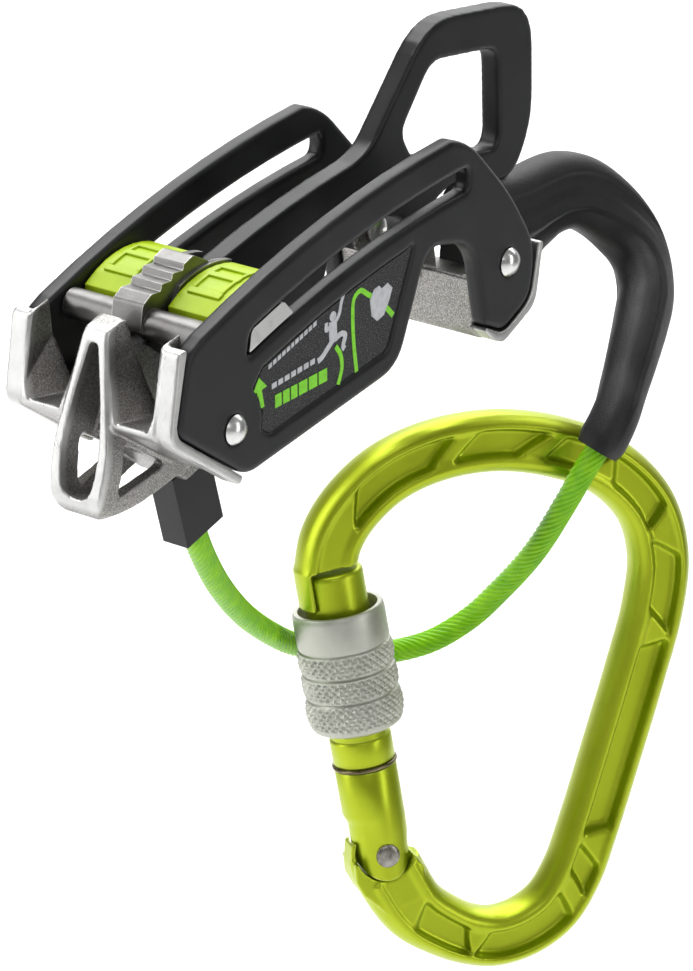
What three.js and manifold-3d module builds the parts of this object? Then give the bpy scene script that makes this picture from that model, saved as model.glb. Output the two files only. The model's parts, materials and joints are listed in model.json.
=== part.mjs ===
// Assisted-braking belay and rappel device with its screwgate carabiner.
// Millimetres, +Z up. The row origin is the centre of the guide eyelet.
// Everything is drawn in the plate frame: x runs rearward from the front edge
// of the side plates, y from the right plate to the left plate, and z up.
import * as THREE from 'three';
import { mergeVertices } from 'three/addons/utils/BufferGeometryUtils.js';
import { ConvexGeometry } from 'three/addons/geometries/ConvexGeometry.js';
import Module from 'manifold-3d';

const wasm = await Module();
wasm.setup();

// ---------- driving dimensions ----------
const EYELET = { x: 98.2, z: 52.4 };     // centre of the guide eyelet
const PLATE_OUT = 18.9;                  // outer face of a side plate
const PLATE_IN = 15.3;                   // inner face of a side plate
const PLATE_BEVEL = 0.8;
const CENTRE_HALF = 2.2;                 // half the centre plate's thickness
const GAP = 0.2;                         // running gap between fixed neighbours
const TRAVEL = { x: 155.9, z: -208.6, r: 262 };          // centre and radius of the slider's travel
const SLOT = { low: -2.1, high: 2.3 };   // the slot's edges about that arc
const TOP_RISE = 9.2;                    // plate top above the slot's centre line
const CENTRE_RISE = 4.3;                 // centre plate top above the slot's centre line
const FRONT_RIVET = { x: 17.6, z: -0.5 };
const REAR_RIVET = { x: 96.8, z: 25.6 };
const RIVET_R = 2.1;
const RIVET_HOLE_R = 2.3;
const HEAD_R = 2.8;
const PIN_R = 1.3;
const FRONT_PIN = { x: 16.5, z: 4.0 };   // dowels that hold the centre plate
const REAR_PIN = { x: 89.0, z: 25.6 };
const EAR_IN = 12.6;                     // inner face of the insert's rivet ears
const LABEL_DEPTH = 0.9;
const CABLE_R = 2.4;
const CABLE_BORE_R = 2.7;
const FERRULE_TILT = 28.7;               // ferrule axis from the vertical, degrees
const CARABINER = { x: 110.4, y: 0.1, z: -98.0, yaw: -37.1 };   // its gate rivet
const BODY_HALF_W = 6.1;                 // half the bar's width in the carabiner's plane
const BODY_HALF_T = 5.25;                // half its thickness
const GATE_LEAN = 18.0;                  // gate axis from the vertical, degrees
const GATE_R = 6.2;
const GATE_TOP = 59.2;
const SLEEVE = { bottom: 26.6, top: 51.4 };

const STEEL = { color: 0xb9b9b6, roughness: 0.35, metalness: 1.0 };
const CAST_STEEL = { color: 0x8f8c88, roughness: 0.6, metalness: 1.0 };
const BLACK_ALLOY = { color: 0x1c1c1d, roughness: 0.42, metalness: 0.6 };
const BLACK_PLASTIC = { color: 0x19191a, roughness: 0.55, metalness: 0.0 };
const RUBBER = { color: 0x1d1d1e, roughness: 0.7, metalness: 0.0 };
const LABEL = { color: 0x2b2b2c, roughness: 0.75, metalness: 0.0 };
const LIME_PLASTIC = { color: 0xb4d600, roughness: 0.4, metalness: 0.0 };
const LIME_CABLE = { color: 0x7ddc1a, roughness: 0.35, metalness: 0.0 };
const LIME_ALLOY = { color: 0xa9b514, roughness: 0.33, metalness: 0.8 };
const GREY_ALLOY = { color: 0xc3c2bc, roughness: 0.5, metalness: 0.7 };
const SPRING_STEEL = { color: 0x9a9a98, roughness: 0.4, metalness: 1.0 };
const BRASS = { color: 0xb89a4a, roughness: 0.4, metalness: 1.0 };

// ---------- small tools ----------
const radians = THREE.MathUtils.degToRad;

// A closed outline in x and z. Each corner is [x, z, setback] and a setback rounds it.
function outline(corners, Target = THREE.Shape) {
  const path = new Target();
  const count = corners.length;
  corners.forEach(([x, z, setback = 0], i) => {
    const here = new THREE.Vector2(x, z);
    const before = new THREE.Vector2(...corners[(i + count - 1) % count]);
    const after = new THREE.Vector2(...corners[(i + 1) % count]);
    const start = here.clone().add(before.sub(here).setLength(setback));
    const end = here.clone().add(after.sub(here).setLength(setback));
    if (i === 0) path.moveTo(start.x, start.y);
    else path.lineTo(start.x, start.y);
    if (setback > 0) path.quadraticCurveTo(x, z, end.x, end.y);
  });
  path.closePath();
  return path;
}

// Points along the slider's travel arc, offset outward by rise, between two x values.
function travelArc(rise, xStart, xEnd, steps, setback = 0) {
  return Array.from({ length: steps + 1 }, (_, i) => {
    const x = THREE.MathUtils.lerp(xStart, xEnd, i / steps);
    const edge = i === 0 || i === steps;
    return [x, TRAVEL.z + Math.sqrt((TRAVEL.r + rise) ** 2 - (x - TRAVEL.x) ** 2), edge ? setback : 0];
  });
}

function circle({ x, z }, radius, Target = THREE.Shape) {
  return new Target().absarc(x, z, radius, 0, 2 * Math.PI, false);
}

// An outline in x and z made solid between two y values.
function slab(shape, yMin, yMax, bevel = 0, curveSegments = 5) {
  const geometry = new THREE.ExtrudeGeometry(shape, {
    depth: yMax - yMin - 2 * bevel,
    bevelEnabled: bevel > 0,
    bevelThickness: bevel,
    bevelSize: bevel,
    bevelOffset: -bevel,
    bevelSegments: 2,
    curveSegments,
    steps: 1,
  });
  geometry.rotateX(Math.PI / 2);
  geometry.translate(0, yMax - bevel, 0);
  return geometry;
}

// A solid of revolution about the Y axis from [radius, y] points.
function turned(profile, segments = 28) {
  return new THREE.LatheGeometry(profile.map(([r, y]) => new THREE.Vector2(r, y)), segments);
}

function toSolid(geometry) {
  const bare = geometry.clone();
  bare.deleteAttribute('normal');
  bare.deleteAttribute('uv');
  const merged = mergeVertices(bare, 1e-4);
  return new wasm.Manifold(new wasm.Mesh({
    numProp: 3,
    vertProperties: new Float32Array(merged.attributes.position.array),
    triVerts: new Uint32Array(merged.index.array),
  }));
}

function toGeometry(solid) {
  const mesh = solid.getMesh();
  const geometry = new THREE.BufferGeometry();
  geometry.setAttribute('position', new THREE.BufferAttribute(new Float32Array(mesh.vertProperties), 3));
  geometry.setIndex(new THREE.BufferAttribute(new Uint32Array(mesh.triVerts), 1));
  return geometry;
}

function join(...geometries) {
  return toGeometry(geometries.map(toSolid).reduce((sum, next) => sum.add(next)));
}

function cut(geometry, ...tools) {
  return toGeometry(tools.map(toSolid).reduce((rest, tool) => rest.subtract(tool), toSolid(geometry)));
}

function common(a, b) {
  return toGeometry(toSolid(a).intersect(toSolid(b)));
}

function piece(name, geometry, look) {
  const mesh = new THREE.Mesh(geometry, new THREE.MeshStandardMaterial(look));
  mesh.name = name;
  return mesh;
}

// A cylinder across the device, about the Y axis through a point in x and z.
function crossPin({ x, z }, radius, yMin, yMax, sides = 20) {
  const geometry = new THREE.CylinderGeometry(radius, radius, yMax - yMin, sides);
  geometry.translate(x, (yMin + yMax) / 2, z);
  return geometry;
}

// A round section swept along a curve.
function sweep(curve, radius, steps, sides = 10) {
  const section = new THREE.Shape(Array.from({ length: sides }, (_, i) => {
    const angle = 2 * Math.PI * i / sides;
    return new THREE.Vector2(radius * Math.cos(angle), radius * Math.sin(angle));
  }));
  return new THREE.ExtrudeGeometry(section, { extrudePath: curve, steps, bevelEnabled: false });
}

// ---------- side plates ----------
function sidePlateShape() {
  const shape = outline([
    ...travelArc(TOP_RISE, 72.5, 5.0, 8),
    [1.2, 13.4, 2.2],
    [1.2, -0.5, 2.6],
    [23.2, -9.5, 3.0],
    [65.4, 7.4, 5.0],
    [69.4, 29.7, 4.5],
    [84.3, 29.7, 6.0],
    [91.9, 13.6, 1.0],
    [98.4, 12.2, 2.0],
    [106.0, 18.2, 3.0],
    [105.6, 28.4, 5.0],
    [95.0, 38.6, 7.0],
    [78.4, 49.0, 5.0],
  ]);
  shape.holes.push(
    outline([...travelArc(SLOT.low, 18.6, 79.8, 8, 1.6), ...travelArc(SLOT.high, 79.0, 18.4, 8, 1.6)], THREE.Path),
    circle(FRONT_RIVET, RIVET_HOLE_R, THREE.Path),
    circle(REAR_RIVET, RIVET_HOLE_R, THREE.Path),
  );
  return shape;
}

function labelShape(inset) {
  const boss = [62 - 10 * inset, 40, 18, -4].map((degrees) => {
    const angle = radians(degrees);
    const radius = 8.0 + inset;
    return [FRONT_RIVET.x + radius * Math.cos(angle), FRONT_RIVET.z + radius * Math.sin(angle)];
  });
  const lower = -6.2 - inset;
  return outline([
    ...boss,
    [28.2, -2.4 + inset, 1.2],
    [61.0 - inset, 10.6 + inset, 1.5],
    [64.8 - inset, 31.2 - inset, 1.5],
    ...travelArc(lower, 63.2 - inset, 23.5 + inset, 5, 0.5),
  ]);
}

// side is -1 for the right plate and 1 for the left plate.
function across(side, inner, outer) {
  return side > 0 ? [inner, outer] : [-outer, -inner];
}

function sidePlate(side) {
  const plate = slab(sidePlateShape(), ...across(side, PLATE_IN, PLATE_OUT), PLATE_BEVEL);
  const recess = slab(labelShape(0), ...across(side, PLATE_OUT - LABEL_DEPTH, PLATE_OUT + 1));
  return cut(plate, recess);
}

function label(side) {
  const back = PLATE_OUT - LABEL_DEPTH + 0.05;
  return slab(labelShape(0.3), ...across(side, back, back + 0.5));
}

// ---------- centre plate with the guide eyelet ----------
function centrePlate() {
  const shape = outline([
    ...travelArc(CENTRE_RISE, 66.0, 12.0, 6, 0.5),
    [9.4, 8.0, 0.5],
    [13.0, 1.6, 0.5],
    [30.5, 0.6, 2.0],
    [33.5, -3.6, 1.0],
    [60.0, 9.6, 4.0],
    [63.5, 31.6, 4.0],
    [84.4, 31.6, 3.0],
    [86.4, 23.4, 0.5],
    [91.4, 23.4, 0.5],
    [92.6, 33.0, 3.0],
    [99.0, 37.4, 3.0],
    [119.6, 37.0, 6.0],
    [123.6, 49.0, 6.0],
    [117.4, 72.6, 9.0],
    [84.0, 68.8, 8.0],
    [70.4, 44.6, 3.0],
  ]);
  shape.holes.push(
    outline([[86.4, 61.0, 3.5], [107.8, 63.4, 3.5], [113.4, 43.4, 4.5], [84.6, 42.4, 3.0], [79.8, 47.6, 2.5]], THREE.Path),
    circle(FRONT_PIN, PIN_R + 0.1, THREE.Path),
    circle(REAR_PIN, PIN_R + 0.1, THREE.Path),
  );
  return slab(shape, -CENTRE_HALF, CENTRE_HALF);
}

// ---------- front insert ----------
// Lip that wraps the front and the lower front edge of a side plate.
function frontLip(side) {
  return slab(outline([
    [0.9, 15.0, 0.8], [0.9, -0.6, 2.6], [22.0, -9.3, 0.6], [21.3, -11.0, 0.8], [-0.4, -2.2, 2.4], [-1.4, 14.4, 1.4],
  ]), ...across(side, PLATE_IN - GAP - 0.2, PLATE_OUT + 0.1), 0.3);
}

// Tapering rope channel cut into the insert: wide in front, a V at the back.
function ropeChannel(side) {
  const points = [
    [-3, 5.9, -1.4], [-3, 14.4, -1.4], [-3, 4.0, 5.4], [-3, 2.1, 15], [-3, 2.0, 22], [-3, 14.4, 22],
    [10, 8.9, 1.0], [10, 10.1, 1.0], [10, 4.0, 17], [10, 14.9, 17], [10, 4.0, 22], [10, 14.9, 22],
  ];
  return new ConvexGeometry(points.map(([x, y, z]) => new THREE.Vector3(x, side * y, z)));
}

// The slit through the thumb loop's front, seen along x.
function loopSlit(length) {
  const slit = new THREE.ExtrudeGeometry(outline([
    [-0.9, 12.2, 0.6], [-3.1, 2.0, 3.0], [-4.3, -8.0, 3.5], [-3.2, -15.8, 3.0],
    [3.2, -15.8, 3.0], [4.3, -8.0, 3.5], [3.1, 2.0, 3.0], [0.9, 12.2, 0.6],
  ]), { depth: length, bevelEnabled: false, curveSegments: 4 });
  slit.rotateX(Math.PI / 2);
  slit.rotateZ(Math.PI / 2);
  return slit.translate(-4, 0, 0);
}

function thumbLoop() {
  const side = slab(outline([
    [-1.3, 14.0, 1.5], [-1.2, -16.2, 2.2], [1.8, -19.6, 2.0], [9.5, -17.2, 4.0], [23.4, -10.6, 1.0],
    [20.0, -6.0, 0.5], [9.0, 3.0, 1.0], [5.6, 14.5, 0.5], [3.0, 17.0, 0.6],
  ]), -8, 8);
  const front = new THREE.ExtrudeGeometry(outline([
    [-2.0, 17.2, 1.0], [-3.9, 5.4, 2.0], [-6.4, -7.5, 4.0], [-5.2, -19.8, 4.5],
    [5.2, -19.8, 4.5], [6.4, -7.5, 4.0], [3.9, 5.4, 2.0], [2.0, 17.2, 1.0],
  ]), { depth: 30, bevelEnabled: false, curveSegments: 5 });
  front.rotateX(Math.PI / 2);
  front.rotateZ(Math.PI / 2);
  front.translate(-3, 0, 0);
  const window = slab(outline([[3.6, -5.0, 1.2], [16.2, -9.4, 2.4], [4.0, -15.0, 1.8]]), -9, 9);
  return cut(common(side, front), loopSlit(40), window);
}

function frontEar(side) {
  const web = outline([[8, -4.6], [17.6, -7.0, 3], [22.8, -3.5, 3], [21.0, 4.0, 3], [14, 4.4, 2], [7, 1]]);
  return slab(web, ...across(side, EAR_IN, PLATE_IN - GAP));
}

const FERRULE_TOP = { x: 27.4, z: -11.5 };
const ferruleTurn = -radians(FERRULE_TILT);
// A point down the ferrule's axis: along is the distance below its top, out is across it.
function ferrulePoint(along, out = 0) {
  const down = [Math.sin(-ferruleTurn), -Math.cos(ferruleTurn)];
  return [
    FERRULE_TOP.x + down[0] * along - down[1] * out,
    FERRULE_TOP.z + down[1] * along + down[0] * out,
  ];
}

function frontInsert() {
  const block = slab(outline([
    [-1.1, 14.6, 0.8], [-0.6, -2.0, 1.5], [18.4, -9.4, 1.0], [17.0, -5.0, 1.0], [8.4, 2.4, 1.0], [3.4, 16.8, 0.8],
  ]), -(PLATE_IN - GAP), PLATE_IN - GAP);
  const boss = slab(outline([
    ferrulePoint(-GAP, -4.4), ferrulePoint(-GAP, 4.4), [31.4, -3.0, 1.0], [26.0, -0.2, 1.0], [12.5, -1.0], [12.5, -8.0],
  ]), -5.4, 5.4);
  const cheeks = slab(outline([[5.0, 13.0], [8.0, 0.0], [20.0, -1.0, 1.0], [20.4, 6.6, 2.0], [9.0, 12.0, 2.0]]), -4.1, 4.1);
  const body = join(block, frontLip(-1), frontLip(1), frontEar(-1), frontEar(1), boss, cheeks);
  const shaped = join(cut(body, ropeChannel(-1), ropeChannel(1)), thumbLoop());
  const plateSlot = slab(outline([[8.9, 30], [8.9, 7.8], [12.8, 1.1], [40, 0.1], [40, 30]]), -CENTRE_HALF - GAP, CENTRE_HALF + GAP);
  const nose = common(loopSlit(11.4), slab(outline([[-6, 14], [-6, -20], [7.4, -20], [7.4, 14]]), -9, 9));
  const cableBore = sweep(new THREE.LineCurve3(
    new THREE.Vector3(ferrulePoint(-7)[0], 0, ferrulePoint(-7)[1]),
    new THREE.Vector3(ferrulePoint(4)[0], 0, ferrulePoint(4)[1]),
  ), CABLE_BORE_R + 0.5, 1, 14);
  return cut(
    shaped, plateSlot, nose, cableBore,
    crossPin(FRONT_RIVET, RIVET_HOLE_R, -PLATE_OUT, PLATE_OUT),
    crossPin(FRONT_PIN, PIN_R + 0.1, -8, 8, 14),
  );
}

// ---------- rear insert ----------
function rearLip(side) {
  return slab(outline([
    [92.3, 12.3, 0.3], [95.4, 10.5, 1.0], [99.1, 9.9, 1.4], [108.0, 16.9, 2.4], [107.6, 29.2, 0.6], [106.2, 29.2, 0.4],
    [106.4, 17.9, 2.9], [98.6, 11.7, 2.0], [92.6, 13.1, 0.2],
  ]), ...across(side, PLATE_IN - GAP - 0.2, PLATE_OUT + 0.1));
}

function rearInsert() {
  const block = slab(outline([
    [89.4, 22.2, 0.6], [94.4, 11.4, 1.0], [95.8, 10.2, 0.6], [99.1, 9.9, 1.4], [108.0, 16.9, 2.4], [107.9, 21.5, 1.5],
    [97.0, 21.0, 1.0],
  ]), -(PLATE_IN - GAP), PLATE_IN - GAP);
  const ear = outline([[91, 20], [105, 20], [102.4, 28.5, 3], [96.8, 31.0, 2.5], [91.4, 28.0, 2.5]]);
  const cheek = outline([[86.0, 21.6, 0.8], [86.0, 28.0, 2.0], [91.8, 28.6, 2.0], [95.0, 21.0], [90.0, 20.0]]);
  return cut(
    join(
      block, rearLip(-1), rearLip(1),
      slab(ear, ...across(-1, EAR_IN, PLATE_IN - GAP)), slab(ear, ...across(1, EAR_IN, PLATE_IN - GAP)),
      slab(cheek, -4.2, 4.2),
    ),
    slab(outline([[80, 23.1], [92.6, 23.1], [93.6, 40], [80, 40]]), -CENTRE_HALF - GAP, CENTRE_HALF + GAP),
    crossPin(REAR_RIVET, RIVET_HOLE_R, -PLATE_OUT, PLATE_OUT),
    crossPin(REAR_PIN, PIN_R + 0.1, -8, 8, 14),
  );
}

// ---------- rivets and dowels ----------
function plateRivet({ x, z }, side) {
  const head = PLATE_OUT + 0.05;
  const tail = EAR_IN - 0.05;
  const rivet = turned([
    [0, head + 1.7], [1.1, head + 1.55], [2.1, head + 1.05], [HEAD_R, head + 0.1], [HEAD_R, head], [RIVET_R, head],
    [RIVET_R, tail], [HEAD_R, tail], [HEAD_R, tail - 0.6], [1.8, tail - 1.1], [0, tail - 1.1],
  ].reverse(), 20);
  if (side < 0) rivet.rotateZ(Math.PI);
  rivet.translate(x, 0, z);
  return rivet;
}

// ---------- slider ----------
const SLIDER = { front: 12.8, rear: 30.0, half: 14.9 };
const BAR = { x: 10.4, z: 15.4, r: 2.9 };
const DOME = { x: 28.5, z: 5.1, r: 20.8 };

// Points over the brake inserts' round backs, offset outward by rise.
function domeArc(rise, xStart, xEnd) {
  return Array.from({ length: 8 }, (_, i) => {
    const x = THREE.MathUtils.lerp(xStart, xEnd, i / 7);
    return [x, DOME.z + Math.sqrt((DOME.r + rise) ** 2 - (x - DOME.x) ** 2)];
  });
}

function sliderRidge() {
  return slab(outline([
    [6.9, 19.0, 0.5], [7.2, 14.0, 0.6], [9.0, 13.4, 0.5], ...travelArc(CENTRE_RISE + 0.45, 11.6, 26.6, 4),
    [23.4, 26.4, 0.6], [19.4, 27.4, 0.5], [17.0, 25.9, 0.3], [17.0, 24.8, 0.3], [14.2, 24.4, 0.3], [14.1, 23.1, 0.3],
    [11.5, 22.6, 0.3], [11.4, 21.3, 0.3], [8.9, 20.9, 0.3],
  ]), -3.4, 3.4);
}

function sliderFrame() {
  const web = slab(outline([
    [BAR.x, BAR.z + 0.5], [9.2, 13.2], ...travelArc(1.2, 12.4, 30.4, 4), ...travelArc(3.2, 30.4, 13.2, 4),
  ]), -SLIDER.half, SLIDER.half);
  const bar = crossPin(BAR, BAR.r, -SLIDER.half, SLIDER.half, 24);
  const ridge = sliderRidge();
  const saddle = slab(outline([
    ...travelArc(-6, 2.0, 36.0, 3), ...travelArc(CENTRE_RISE + 0.35, 36.0, 2.0, 6),
  ]), -CENTRE_HALF - 0.35, CENTRE_HALF + 0.35);
  const cheeks = [-1, 1].map((side) => slab(outline([
    ...travelArc(3.0, 13.8, SLIDER.rear, 4), ...domeArc(0.45, SLIDER.rear, SLIDER.front + 3),
  ]), ...across(side, 2.65, 4.0)));
  const studs = [-1, 1].map((side) => crossPin(studPoint(), 1.45, ...across(side, 11.4, 16), 12));
  const keel = slab(outline([
    ...travelArc(-0.8, 20.6, 26.6, 1), ...travelArc(2.0, 26.6, 20.6, 1),
  ]), -SLIDER.half, SLIDER.half);
  return cut(join(web, bar, ridge, keel, ...cheeks), saddle, ...studs);
}

function studPoint() {
  const [x, z] = travelArc(0.9, 23.6, 24, 1)[0];
  return { x, z };
}

function sliderGuide(side) {
  const block = slab(outline([
    ...travelArc(SLOT.low + 0.4, 19.4, 30.8, 3, 0.5), ...travelArc(SLOT.high - 0.4, 27.4, 19.2, 3, 0.8),
  ]), ...across(side, SLIDER.half + 0.25, PLATE_OUT - 0.5));
  return join(block, crossPin(studPoint(), 1.25, ...across(side, 12.0, SLIDER.half + 1), 12));
}

function brakeInsert(side) {
  const [low, high] = across(side, 4.2, SLIDER.half);
  const body = slab(outline([
    ...travelArc(3.4, 13.8, SLIDER.rear, 4), ...domeArc(0, SLIDER.rear, SLIDER.front),
  ]), low, high);
  return cut(body, crossPin(BAR, BAR.r + GAP, low - 1, high + 1, 24));
}

// ---------- cable, its ferrule and its rubber sleeve ----------
const [stopX, stopZ] = ferrulePoint(-5.5);
const [ferruleMidX, ferruleMidZ] = ferrulePoint(7);
const [ferruleEndX, ferruleEndZ] = ferrulePoint(15.5);
const CABLE_ROUTE = [
  [stopX, 0, stopZ], [ferruleMidX, 0, ferruleMidZ], [ferruleEndX, 0, ferruleEndZ],
  [46.2, 4.2, -34.0], [61.0, 10.0, -42.8], [77.5, 15.8, -51.0], [91.7, 19.4, -57.0], [101.2, 21.2, -60.4],
  [110.7, 21.6, -62.8], [121.0, 19.8, -64.4], [129.6, 15.8, -63.9], [135.0, 10.8, -61.0], [138.2, 5.0, -55.3],
  [137.2, -2.0, -47.4], [132.6, -11.7, -36.4], [127.6, -20.2, -24.0], [125.4, -24.7, -16.1], [125.8, -26.8, -11.2],
  [127.6, -27.2, -8.0], [131.0, -26.4, -4.2], [136.2, -24.0, 0.2], [142.3, -21.2, 5.8], [148.6, -18.0, 10.9],
  [153.4, -15.2, 15.4], [156.0, -12.0, 20.0], [156.3, -8.8, 24.4], [154.4, -5.6, 28.3], [150.5, -3.0, 31.4],
  [145.0, -1.2, 33.4], [138.6, -0.3, 33.6], [132.9, 0, 32.4], [126.0, 0, 30.4], [118.0, 0, 28.9], [100.5, 0, 28.4],
];
const cableCurve = new THREE.CatmullRomCurve3(
  CABLE_ROUTE.map(([x, y, z]) => new THREE.Vector3(x, y, z)), false, 'centripetal');
const CABLE_STEPS = 70;
const SLEEVE_START = 0.638;              // share of the cable's length where the rubber begins
const SLEEVE_END = 0.985;

// The stretch of the cable between two shares of its length.
function cableStretch(from, to, count = 30) {
  const points = Array.from({ length: count }, (_, i) => cableCurve.getPointAt(
    THREE.MathUtils.lerp(from, to, i / (count - 1))));
  return new THREE.CatmullRomCurve3(points, false, 'centripetal');
}

// Pushes a sine towards its limits, which turns an oval section into a rounded rectangle.
function squared(value) {
  return Math.sign(value) * Math.abs(value) ** 0.75;
}

// A tube whose half height in its own upright plane and half width vary along a curve.
function taperedTube(curve, steps, sides, sizeAt) {
  const positions = [];
  const index = [];
  for (let i = 0; i <= steps; i += 1) {
    const centre = curve.getPointAt(i / steps);
    const tangent = curve.getTangentAt(i / steps);
    const acrossAxis = new THREE.Vector3(0, 1, 0).addScaledVector(tangent, -tangent.y).normalize();
    const upAxis = new THREE.Vector3().crossVectors(tangent, acrossAxis);
    const [halfWidth, halfHeight] = sizeAt(i / steps);
    for (let j = 0; j < sides; j += 1) {
      const angle = 2 * Math.PI * j / sides;
      const point = centre.clone()
        .addScaledVector(acrossAxis, halfWidth * squared(Math.cos(angle)))
        .addScaledVector(upAxis, halfHeight * squared(Math.sin(angle)));
      positions.push(point.x, point.y, point.z);
    }
  }
  const ring = (i, j) => i * sides + (j % sides);
  for (let i = 0; i < steps; i += 1) {
    for (let j = 0; j < sides; j += 1) {
      index.push(ring(i, j), ring(i, j + 1), ring(i + 1, j));
      index.push(ring(i + 1, j), ring(i, j + 1), ring(i + 1, j + 1));
    }
  }
  for (let j = 1; j < sides - 1; j += 1) {
    index.push(0, j + 1, j);
    index.push(ring(steps, 0), ring(steps, j), ring(steps, j + 1));
  }
  const geometry = new THREE.BufferGeometry();
  geometry.setAttribute('position', new THREE.Float32BufferAttribute(positions, 3));
  geometry.setIndex(index);
  return geometry;
}

function cableSleeve() {
  const steps = 34;
  const outer = taperedTube(cableStretch(SLEEVE_START, SLEEVE_END), steps, 14, (t) => {
    const flare = THREE.MathUtils.smoothstep(t, 0.55, 0.95);
    const swell = THREE.MathUtils.smoothstep(t, 0, 0.45);
    return [4.3 + 0.7 * swell, 4.5 + 1.6 * swell + 1.5 * flare];
  });
  const bore = sweep(cableStretch(SLEEVE_START - 0.02, 1, 40), CABLE_BORE_R + 0.1, 44, 10);
  const rearBlock = slab(outline([[80, 10], [108.9, 10], [108.9, 21.8], [80, 21.8]]), -16, 16);
  const plateEnd = slab(outline([[80, 20], [93.4, 20], [93.4, 60], [80, 60]]), -16, 16);
  return cut(outer, bore, rearBlock, plateEnd);
}

function cableFerrule() {
  const block = new THREE.BoxGeometry(10.7, 5.8, 15.2);
  block.rotateY(ferruleTurn);
  const [x, z] = ferrulePoint(15.2 / 2);
  block.translate(x, 0, z);
  const bore = sweep(new THREE.LineCurve3(
    new THREE.Vector3(ferrulePoint(-3)[0], 0, ferrulePoint(-3)[1]),
    new THREE.Vector3(ferrulePoint(18)[0], 0, ferrulePoint(18)[1]),
  ), CABLE_BORE_R + 0.1, 1, 14);
  return cut(block, bore);
}

// ---------- carabiner, in its own plane: x across, y up, z out of the plane ----------
const BODY_ROUTE = [
  [2.9, -3.8], [9.3, -11.8], [14.9, -15.2], [20.7, -17.3], [26.7, -17.6], [32.9, -15.3], [38.2, -10.6],
  [41.5, -3.2], [43.4, 6.1], [45.9, 22.2], [48.4, 39.4], [49.9, 52.6], [49.3, 63.8], [44.9, 73.5], [36.0, 80.6],
  [24.4, 83.9], [11.6, 84.3], [-0.4, 81.4], [-9.9, 76.0], [-16.4, 68.4], [-19.1, 61.9], [-19.4, 55.5],
];

function barSection() {
  const t = BODY_HALF_T;
  const w = BODY_HALF_W;
  return new THREE.Shape([
    [t, w - 3.2], [t - 1.0, w - 1.3], [t - 2.6, w], [2.6 - t, w], [1.0 - t, w - 1.3], [-t, w - 3.2],
    [-t, 3.2 - w], [1.0 - t, 1.3 - w], [2.6 - t, -w], [t - 2.6, -w], [t - 1.0, 1.3 - w], [t, 3.2 - w],
  ].map(([x, y]) => new THREE.Vector2(x, y)));
}

// Turns a geometry drawn along the gate's axis (Y, from its rivet) into the carabiner's plane.
function alongGate(geometry) {
  return geometry.rotateZ(radians(GATE_LEAN));
}

function carabinerBody() {
  const route = new THREE.CatmullRomCurve3(
    BODY_ROUTE.map(([x, y]) => new THREE.Vector3(x, y, 0)), false, 'centripetal');
  const bar = new THREE.ExtrudeGeometry(barSection(), { extrudePath: route, steps: 72, bevelEnabled: false });
  const socket = new THREE.SphereGeometry(GATE_R + 0.7, 24, 16);
  const swing = new THREE.CylinderGeometry(GATE_R + 0.7, GATE_R + 0.7, 20, 24).translate(0, 10, 0);
  const tang = new THREE.CylinderGeometry(4.9, 4.9, 4.4, 24).rotateX(Math.PI / 2);
  const neck = new THREE.BoxGeometry(7.6, 9, 4.4).translate(3.4, -5.4, 0);
  const rivetHole = new THREE.CylinderGeometry(1.9, 1.9, 12, 16).rotateX(Math.PI / 2);
  const noseGap = new THREE.BoxGeometry(26, 20, 14).translate(1, GATE_TOP + 0.9 - 10, 0);
  const tongue = alongGate(new THREE.BoxGeometry(4.4, 10.5, 3.6).translate(-5.2, 57.5, 0));
  const shaped = cut(bar, socket, alongGate(swing), alongGate(noseGap));
  return cut(join(shaped, tang, neck, tongue), rivetHole);
}

function gate() {
  const shell = turned([
    [0, -GATE_R], [3.6, -5.0], [5.4, -3.0], [GATE_R, 0], [GATE_R, 17.7], [5.7, 17.9], [5.7, 19.1], [GATE_R, 19.3],
    [GATE_R, 58.2], [GATE_R - 1.2, GATE_TOP], [0, GATE_TOP],
  ]);
  const hingeSlot = new THREE.BoxGeometry(16, 16, 5.2).translate(0, 0, 0);
  const noseSlot = new THREE.BoxGeometry(5.4, 14, 4.4).translate(-5.1, 57.5, 0);
  const springBore = new THREE.CylinderGeometry(2.4, 2.4, 20, 16).translate(0, 14, 0);
  const rivetHole = new THREE.CylinderGeometry(1.9, 1.9, 16, 16).rotateX(Math.PI / 2);
  const headSeats = [-6.7, 6.7].map((z) => (
    new THREE.CylinderGeometry(2.7, 2.7, 3, 20).rotateX(Math.PI / 2).translate(0, 0, z)
  ));
  return cut(shell, hingeSlot, noseSlot, springBore, rivetHole, ...headSeats);
}

function gateRivet() {
  return turned([[0, -6.5], [1.6, -6.5], [2.4, -6.2], [2.4, -5.5], [1.6, -5.5], [1.6, 5.5], [2.4, 5.5], [2.4, 6.2],
    [1.6, 6.5], [0, 6.5]], 20).rotateX(Math.PI / 2);
}

class Helix extends THREE.Curve {
  constructor(radius, base, height, turns) {
    super();
    Object.assign(this, { radius, base, height, turns });
  }

  getPoint(t, target = new THREE.Vector3()) {
    const angle = 2 * Math.PI * this.turns * t;
    return target.set(this.radius * Math.cos(angle), this.base + this.height * t, this.radius * Math.sin(angle));
  }
}

function gateSpring() {
  return sweep(new Helix(1.5, 11.8, 10.6, 6), 0.35, 72, 5);
}

function screwSleeve() {
  const { bottom, top } = SLEEVE;
  return turned([
    [6.6, bottom], [8.4, bottom], [9.3, bottom + 1.2], [9.8, bottom + 3.4], [9.7, bottom + 6.6], [9.3, bottom + 7.0],
    [9.6, bottom + 7.4], [9.5, bottom + 11.8], [9.1, bottom + 12.2], [9.4, bottom + 12.6], [9.3, bottom + 16.8],
    [8.9, bottom + 17.2], [9.2, bottom + 17.6], [9.2, top - 0.6], [8.8, top], [7.9, top],
    [7.9, bottom + 1.8], [6.6, bottom + 1.8], [6.6, bottom],
  ], 32);
}

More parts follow.
